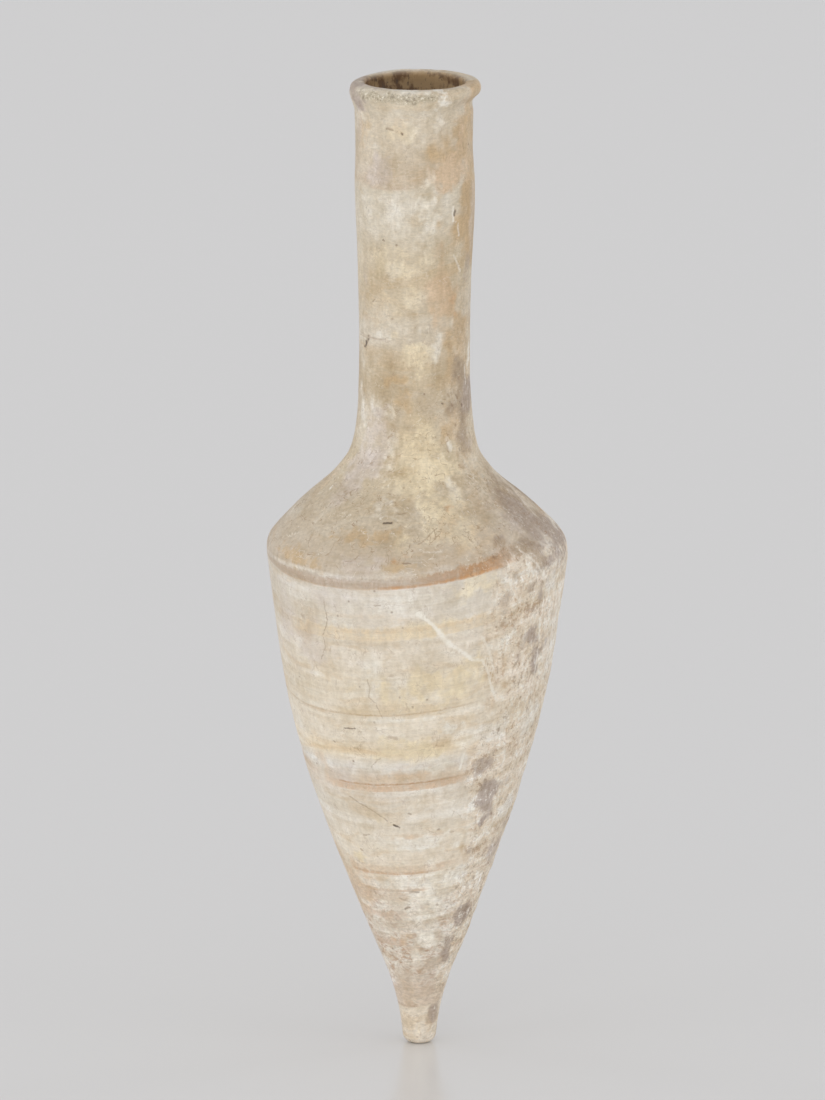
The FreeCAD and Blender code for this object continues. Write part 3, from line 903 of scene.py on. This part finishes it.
# Bands along the layers: lowest and highest layer, colour, strength, azimuths
# from and to, and how far streaks break their edges
bands = [
    (160.8, 163.9, (176, 136, 96), 1, 0, 42, 2.4),
    (160.7, 163.6, (180, 158, 136), 0.85, -84, 16, 2.2),
    (160.4, 161.4, (190, 140, 90), 0.8, -14, 44, 0.8),
    (160.4, 160.9, (192, 160, 124), 0.45, -66, -8, 0.5),
    (164.2, 165.4, (214, 204, 190), 0.5, -60, 12, 2.4),
    (118.9, 119.5, (186, 156, 112), 0.55, -74, 24, 0.3),
    (118.2, 119.1, (194, 164, 122), 0.4, -62, -42, 0.4),
    (119.6, 121, (212, 192, 156), 0.4, -40, 26, 1),
    (95, 95.6, (178, 136, 94), 0.8, -46, 22, 0.4),
    (92.8, 95, (202, 170, 136), 0.75, -50, 26, 1.2),
    (95.6, 98.6, (212, 190, 162), 0.5, -34, 26, 1.6),
    (62.6, 63.6, (196, 160, 124), 0.75, -56, 20, 0.5),
    (63.6, 65.6, (214, 190, 162), 0.5, -60, 28, 1.4),
    (56.3, 57.2, (196, 168, 138), 0.7, -52, 10, 0.6),
    (53, 56, (208, 186, 164), 0.5, -70, -8, 2),
    (57.6, 60, (227, 219, 205), 0.5, -54, 24, 1.2),
    (46.5, 48.5, (205, 180, 156), 0.5, -70, -4, 1.6),
    (49.5, 51.5, (228, 220, 207), 0.5, -66, 10, 1.6),
    (40.5, 43, (228, 220, 207), 0.5, -60, 16, 1.6),
    (36, 38.6, (203, 176, 152), 0.6, -70, -14, 1.6),
    (143.8, 147.8, (218, 197, 163), 0.6, -56, 36, 1.6),
    (146.2, 147.4, (213, 189, 152), 0.4, -50, 30, 0.8),
    (151, 152.4, (213, 195, 168), 0.4, -52, -10, 1.4),
    (13.5, 14.3, (164, 130, 98), 0.7, -72, 4, 0.3),
    (225.9, 226.5, (178, 158, 138), 0.4, -80, -26, 0.4),
    (273, 273.8, (186, 160, 134), 0.5, -50, -2, 1.6),
]
back_bands = [
    (160.6, 163.2, (184, 152, 120), 0.7, -95, 70, 1.4),
    (118.9, 119.6, (164, 132, 94), 0.7, -60, 100, 0.4),
    (93.2, 95.4, (188, 152, 118), 0.6, -110, 40, 0.6),
    (62.8, 63.8, (186, 150, 114), 0.6, -40, 90, 0.4),
    (13.4, 14.2, (160, 128, 98), 0.6, -100, 90, 0.4),
    (206, 208, (184, 160, 130), 0.4, -80, 60, 1),
    (240.4, 241.2, (180, 154, 126), 0.5, -70, 50, 0.5),
    (273, 274, (184, 158, 132), 0.5, -100, 80, 0.8),
]


class Stone(Graph):
    """Banded calcite: flat layers, blotches, marks, a dry crust and a fine grain."""

    def __init__(self, name):
        super().__init__(bpy.data.materials.new(name))
        self.where = self.scaled(self.add("TexCoord", {}, 3), 1 / MM)
        x, y, self.height = [self.add("SeparateXYZ", {0: self.where}, i) for i in range(3)]
        degree = 180 / math.pi
        back, flip = self.times(y, -1), self.times(x, -1)
        self.azimuth = self.times(self.math("ARCTAN2", x, back), degree)
        self.back_azimuth = self.times(self.math("ARCTAN2", flip, y), degree)
        self.layer = self.vector("DOT_PRODUCT", self.where, tuple(layer_tilt), output=1)

        self.broad = self.noise(self.where, 24, 2)
        self.lumps = self.noise(self.stretched(1, 1, 0.6), 10, 3, 0.5)
        self.middle = self.noise(self.where, 5, 4, 0.6, 0.4)
        self.small = self.noise(self.stretched(1, 1, 0.5), 1.6, 4, 0.65)
        self.fine = self.noise(self.stretched(0.6, 0.6, 1.3), 0.8, 3, 0.7)
        self.streaks = self.noise(self.stretched(1, 1, 0.08), 1.5, 4, 0.65)
        along = self.stretched(0.05, 0.05, 0)
        risen = self.add("CombineXYZ", {2: self.layer})
        spread = self.vector("MULTIPLY_ADD", self.where, (0.6, 0.6, 0), self.scaled(risen, 1.8))
        self.blotches = self.noise(spread, 13, 6, 0.64, 0.6)
        self.laminae = self.noise(self.vector("ADD", along, risen), 2.6, 5, 0.65)

    def stretched(self, *shares):
        return self.vector("MULTIPLY", self.where, shares)

    def window(self, place, left, right):
        """1 between two azimuths, fading out past them."""
        return self.within(place, left - 5, left + 7, right - 7, right + 5)

    def layers(self):
        """The general colour of the layers, slightly swayed."""
        sway = self.linear(self.broad, 3, self.linear(self.small, 1, -2))
        top = layer_colours[-1][0]
        ramp = self.tree.nodes.new("ShaderNodeValToRGB")
        stops = ramp.color_ramp.elements
        while len(stops) < len(layer_colours):
            stops.new(0.5)
        for stop, (layer, tint) in zip(stops, layer_colours):
            stop.position = layer / top
            stop.color = paint(*tint)
        self.link(self.math("DIVIDE", self.plus(self.layer, sway), top), ramp.inputs[0])
        return ramp.outputs[0]

    def blotched(self, colour):
        """Tan and chalky blotches all over, and scaly ones low on the body."""
        tanned = self.vector("MULTIPLY", colour, (0.92, 0.83, 0.70))
        colour = self.mix(self.fade(self.blotches, 0.47, 0.37, 0, 0.5), colour, tanned)
        chalky = self.fade(self.height, 164, 158, 0.2, 0.35)
        colour = self.over(colour, (228, 221, 207), self.fade(self.blotches, 0.53, 0.62), chalky)
        low = self.within(self.height, 14, 24, 44, 62)
        low = self.times(low, self.fade(self.lumps, 0.4, 0.54, 0.2, 0.8))
        colour = self.over(colour, (190, 161, 137), self.fade(self.middle, 0.49, 0.41), low, 0.5)
        colour = self.over(colour, (231, 224, 212), self.fade(self.middle, 0.53, 0.60), low, 0.5)
        colour = self.over(colour, (184, 152, 126), self.lines(6.5, (1, 1, 1.7), 0.05, 3), low)
        return self.over(colour, (230, 222, 209), self.lines(6, (1, 1, 1.5), 0.07, 17), low)

    def patched(self, colour):
        """Patches of other tints, whose edges the noise crumbles."""
        flat = self.math("SUBTRACT", self.laminae, self.middle)
        flat = self.linear(flat, self.fade(self.height, 170, 160), self.middle)
        crumble = self.linear(self.small, 0.5, self.linear(flat, 0.7, -0.6))
        for key, tint in palette.items():
            share = self.fade(self.plus(self.mask(key), crumble), 0.1, 1.05)
            colour = self.over(colour, tint, share, self.fade(self.mask(key), 0, 0.25))
        return colour

    def banded(self, colour, azimuth, rows):
        """Bands along the layers, wavy, streaked and broken in places."""
        flame = self.linear(self.streaks, 2, -1)
        waver = self.linear(self.fine, 0.4, self.linear(self.middle, 0.8, -0.6))
        wavy = self.plus(self.layer, waver)
        broken = self.fade(self.lumps, 0.36, 0.54, 0.55)
        for field in (self.small, self.streaks):
            broken = self.times(broken, self.fade(field, 0.36, 0.52, 0.6))
        turn = self.plus(azimuth, self.linear(self.middle, 14, -7))
        for low, high, tint, strength, left, right, ragged in rows:
            place = self.linear(flame, ragged, wavy)
            soft = min((high - low) / 2, 0.5)
            start = self.fade(wavy, low - soft / 2, low + soft / 2, 0, strength)
            share = self.times(start, self.fade(place, high + soft, high - soft))
            colour = self.over(colour, tint, share, self.window(turn, left, right), broken)
        return colour

    def marked(self, name):
        """How strongly the thin marks show, with slightly uneven edges."""
        stray = self.add("TexNoise", {"Vector": self.where, "Scale": 0.9, "Detail": 3}, 1)
        stray = self.vector("SUBTRACT", stray, (0.5, 0.5, 0.5))
        way_off = self.vector("ADD", self.add("Attribute", {}, 1, attribute_name=name), stray)
        flat = self.vector("MULTIPLY", way_off, (1, 1, 0))
        gap = self.math("DIVIDE", self.vector("LENGTH", flat, output=1), self.mask(name + "_width"))
        share = self.times(self.fade(gap, 1.8, 0.4), self.mask(name + "_strength"))
        share = self.times(share, self.fade(self.small, 0.34, 0.48, 0.55))
        return self.times(share, self.fade(self.mask(name + "_near"), 0.9, 0.99))

    def lines(self, size, stretch, half_width, offset):
        """Thin wandering lines, along which a noise has its middle value."""
        where = self.vector("MULTIPLY_ADD", self.where, stretch, (offset,) * 3)
        field = self.noise(where, size, 3, 0.6, 0.5)
        return self.fade(self.math("ABSOLUTE", self.centred(field)), half_width, 0)

    def crusted(self, colour, crust):
        """Grey and brown grime between pale ridges of the crust; on the right of the ridge they are
        partly painted shade.
        """
        grey = self.mask("grey")
        grain = self.noise(self.stretched(1, 1, 0.8), 1.6, 5, 0.75, 0.3)
        tone = self.linear(grey, -0.12, self.linear(self.mask("tan"), -0.04, grain))
        tone = self.linear(self.centred(self.middle), 0.4, tone)
        tone = self.linear(self.centred(self.blotches), 0.5, tone)
        shown = self.mix(grey, paint(194, 169, 143), paint(168, 151, 138))
        shown = self.over(shown, (224, 209, 188), self.fade(tone, 0.33, 0.42))
        shown = self.over(shown, (234, 226, 211), self.fade(tone, 0.52, 0.60))
        ragged = self.linear(self.middle, 0.8, self.linear(self.small, 0.5, -0.65))
        for key, start, strength, tint in crust_areas:
            area = self.plus(self.mask(key), ragged)
            shown = self.over(shown, tint, self.fade(area, start, start + 0.6, 0, strength))
        for size, stretch, half_width, offset, full, tint, strength in crust_lines:
            line = self.lines(size, (1, 1, stretch), half_width, offset)
            shown = self.over(shown, tint, line, self.fade(self.small, 0.5, full), strength)
        return self.mix(self.times(crust, 0.85), colour, shown)

    def ridge_wear_and_highlight(self, colour):
        """A pale line on the left of the ridge, partly wear and partly a painted highlight, and a
        paler cement in it.
        """
        off_ridge = self.math("SUBTRACT", self.height, joint_height + worn_edge + ridge_land)
        line = self.fade(self.math("ABSOLUTE", off_ridge), 0.9, 0.2)
        # The pale line is partly wear and partly a painted highlight along the ridge's left side.
        worn = self.times(line, self.window(self.azimuth, -86, -38))
        worn = self.times(worn, self.fade(self.small, 0.38, 0.50, 0.3))
        colour = self.over(colour, lime, worn, 0.45)
        return self.over(colour, lime, self.mask("lime"), self.linear(worn, 0.5, 0.08))

    def shaded(self, colour, crust):
        """Uneven depth of colour, at every size from the grain up."""
        depth = self.times(self.centred(self.streaks), self.fade(self.height, 160, 225, 0.06, 0.2))
        flat = self.fade(self.height, 175, 160, 0.1, 0.55)
        lumpy = self.fade(self.height, 175, 160, 0.6, 0.25)
        for field, strength in ((self.laminae, flat), (self.broad, 0.3), (self.lumps, lumpy),
                                (self.middle, 0.4), (self.small, 0.2)):
            depth = self.linear(self.centred(field), strength, depth)
        depth = self.times(depth, self.linear(crust, 0.3, 1))
        tint = self.vector("MULTIPLY_ADD", depth, (0.78, 1, 1.4), (1, 1, 1))
        gritty = self.fade(self.height, 170, 160, 0.6, 0.36)
        gritty = self.plus(gritty, self.fade(self.height, 70, 50, 0, 0.4))
        grain = self.times(self.centred(self.fine), self.linear(crust, 0.25, gritty))
        grain = self.plus(grain, self.linear(self.small, 0.25, 0.875))
        return self.vector("MULTIPLY", colour, self.scaled(tint, grain))

    def scored(self, colour):
        """Thin dark scratches and pale flecks, strongest on the shoulder."""
        strength = self.linear(self.within(self.height, 152, 160, 180, 215), 0.35, 0.3)
        scratches = self.math("MAXIMUM", self.lines(9, (1, 1, 1.6), 0.012, 2),
                              self.lines(7, (1.4, 1, 0.5), 0.011, 7))
        shown = self.fade(self.middle, 0.46, 0.58)
        colour = self.over(colour, (150, 120, 88), scratches, shown, strength)
        flecks = self.lines(6, (0.8, 1.3, 1), 0.010, 12)
        return self.over(colour, (236, 228, 214), flecks, self.fade(self.middle, 0.5, 0.4), strength)

    def pits(self, crust):
        """How strongly round pits show, in the crust and where the stone is lumpy."""
        distance = self.add("TexVoronoi", {"Vector": self.where, "Scale": 0.3})
        chosen = self.fade(distance.node.outputs["Color"], 0.72, 0.8)
        share = self.times(self.fade(distance, 0.16, 0.07), chosen)
        return self.times(share, self.math("MAXIMUM", crust, self.fade(self.lumps, 0.46, 0.56)))

    def gritted(self, colour):
        """Dark and pale grains that stick to the lip's front."""
        grains = self.noise(self.where, 0.9, 3, 0.7)
        tone = self.mix(self.fade(grains, 0.36, 0.47), paint(128, 117, 98), paint(182, 170, 146))
        tone = self.over(tone, (230, 223, 205), self.fade(grains, 0.53, 0.66))
        return self.mix(self.times(self.mask("grit"), 0.8), colour, tone)

    def bored(self, colour):
        """The brown bore, streaked down from the mouth."""
        soft = self.plus(self.times(self.streaks, 0.25), self.times(self.middle, 0.75))
        tone = self.mix(self.fade(soft, 0.44, 0.56), paint(108, 76, 42), paint(172, 142, 100))
        tone = self.over(tone, (88, 68, 48), self.fade(self.small, 0.44, 0.34))
        return self.mix(self.times(self.mask("bore"), 0.96), colour, tone)


def stone_material(name):
    g = Stone(name)
    crust = g.mask("crust")
    colour = g.patched(g.blotched(g.layers()))
    colour = g.banded(colour, g.azimuth, bands)
    colour = g.banded(colour, g.back_azimuth, back_bands)
    colour = g.shaded(g.ridge_wear_and_highlight(g.crusted(colour, crust)), crust)
    pale = g.times(g.marked("pale_mark"), g.fade(g.middle, 0.36, 0.50, 0.6))
    colour = g.over(colour, (240, 234, 221), pale, 0.95)
    dark = g.marked("dark_mark")
    colour = g.scored(colour)
    pits = g.pits(crust)
    colour = g.over(colour, (132, 106, 80), pits, 0.5)
    ink = g.mix(g.fade(dark, 0.4, 0.8), paint(144, 114, 82), paint(74, 58, 42))
    colour = g.mix(g.times(dark, 0.85), colour, ink)
    g.link(g.bored(g.gritted(colour)), g.shader.inputs["Base Color"])

    dull = g.linear(crust, 0.2, g.linear(g.middle, 0.3, 0.42))
    g.link(dull, g.shader.inputs["Roughness"])
    rugged = g.linear(g.fine, 0.35, g.times(g.small, 0.8))
    rugged = g.linear(g.times(g.fine, crust), 1.2, rugged)
    rugged = g.linear(g.plus(dark, pits), -0.9, rugged)
    rugged = g.linear(pale, -0.5, rugged)
    bump = g.add("Bump", {"Strength": 0.5, "Distance": 0.3 * MM, "Height": rugged})
    g.link(bump, g.shader.inputs["Normal"])
    g.shader.inputs["Subsurface Weight"].default_value = 0.1
    g.shader.inputs["Subsurface Scale"].default_value = 2.0 * MM
    g.shader.inputs["Subsurface Radius"].default_value = (1.0, 0.8, 0.6)
    return g.material


# Stage, lights and camera. Lengths are in metres, but those of the lens and its
# sensor in millimetres. Angles are in degrees and powers in watts.
floor_radius = 9.0
floor_colour = (226, 225, 223)
floor_roughness = 0.22
sky_colour = (232, 232, 234)
sky_strength = 0.88
camera_place = (-0.00106, -3.6, 0.984)
camera_dip = 12.9725
camera_lens = 397.5
camera_sensor = 36.0

# Soft boxes: azimuth, distance, height of the middle, width, power and colour
box_rise = 0.9
neutral, cool = (1.0, 1.0, 1.0), (0.93, 0.96, 1.0)
soft_boxes = {
    "front_box": (-19, 5.5, 0.5, 2.8, 82, neutral),
    "left_box": (-65, 3.4, 0.55, 1.8, 15, cool),
    "right_box": (68, 3.6, 0.5, 1.9, 20, neutral),
    "left_rim": (-117, 2.8, 0.5, 0.7, 5, cool),
    "right_rim": (117, 2.8, 0.5, 0.7, 6, cool),
}


def make_stage():
    bpy.ops.mesh.primitive_circle_add(vertices=128, radius=floor_radius, fill_type="NGON")
    floor = bpy.context.object
    floor.name = "floor"
    material = bpy.data.materials.new("floor_paint")
    material.use_nodes = True
    shader = material.node_tree.nodes["Principled BSDF"]
    shader.inputs["Base Color"].default_value = paint(*floor_colour)
    shader.inputs["Roughness"].default_value = floor_roughness
    floor.data.materials.append(material)


def make_world():
    world = bpy.data.worlds.new("studio")
    world.use_nodes = True
    background = world.node_tree.nodes["Background"]
    background.inputs["Color"].default_value = paint(*sky_colour)
    background.inputs["Strength"].default_value = sky_strength
    bpy.context.scene.world = world


def placed_object(name, data, place):
    """An object of the scene for a light or a camera, at its place."""
    thing = bpy.data.objects.new(name, data)
    bpy.context.collection.objects.link(thing)
    thing.location = place
    return thing


def soft_light(name, azimuth, distance, height, width, power, colour):
    """A soft box that stands clear of the floor and faces the vessel's middle."""
    angle = math.radians(azimuth)
    place = Vector((math.sin(angle) * distance, -math.cos(angle) * distance, height))
    data = bpy.data.lights.new(name, "AREA")
    data.shape = "RECTANGLE"
    data.size, data.size_y = width, box_rise
    data.energy = power
    data.color = colour
    light = placed_object(name, data, place)
    light.visible_camera = False
    aim = Vector((0, 0, overall_height / 2 * MM)) - place
    light.rotation_euler = aim.to_track_quat("-Z", "Y").to_euler()


def make_camera():
    """The photograph's view, from far off and a little above."""
    data = bpy.data.cameras.new("photo_view")
    data.sensor_width = camera_sensor
    data.lens = camera_lens
    camera = placed_object("photo_view", data, camera_place)
    camera.rotation_euler = (math.radians(90 - camera_dip), 0, 0)
    bpy.context.scene.camera = camera


# The whole

def dress(piece, material, node):
    piece.data.materials.append(material)
    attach(piece, "root")
    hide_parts(node)


stone = stone_material("banded_stone")
dress(body_stone(), stone, "body_section")
dress(neck_stone(), stone, "neck_section")
cement = stone.copy()
cement.name = "lime_cement"
dress(cement_line(), cement, "joint_cement")

make_stage()
make_world()
for box_name, settings in soft_boxes.items():
    soft_light(box_name, *settings)
make_camera()
bpy.context.scene.view_settings.view_transform = "Standard"
